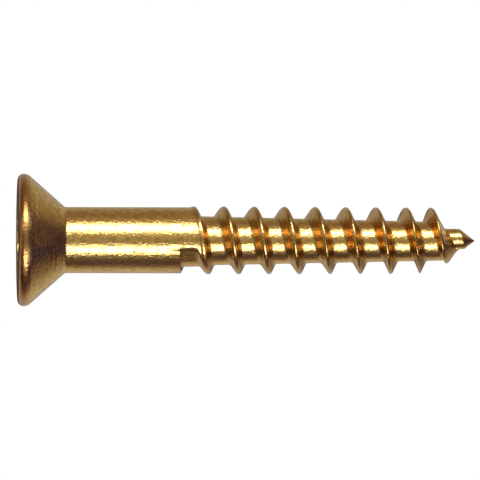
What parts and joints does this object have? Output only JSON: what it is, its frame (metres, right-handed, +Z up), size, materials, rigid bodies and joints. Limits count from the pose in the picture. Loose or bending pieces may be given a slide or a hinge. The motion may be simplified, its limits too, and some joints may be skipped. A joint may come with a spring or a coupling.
{
  "type": "wood screw",
  "caption": "Countersunk brass wood screw with a cross recess, plain shank, tapered core, coarse right-hand thread and sharp point.",
  "frame": {"origin": "centre of the head's flat face, at the mouth of the driver recess", "axes": "+X along the screw from the head to the point, +Z up when the screw is drawn lying on its side, +Y across it"},
  "size_m": [0.0381, 0.011, 0.011],
  "materials": {
    "brass": "bright turned metal with fine tool marks"
  },
  "bodies": {
    "root": {"screw": "brass"}
  },
  "joints": []
}
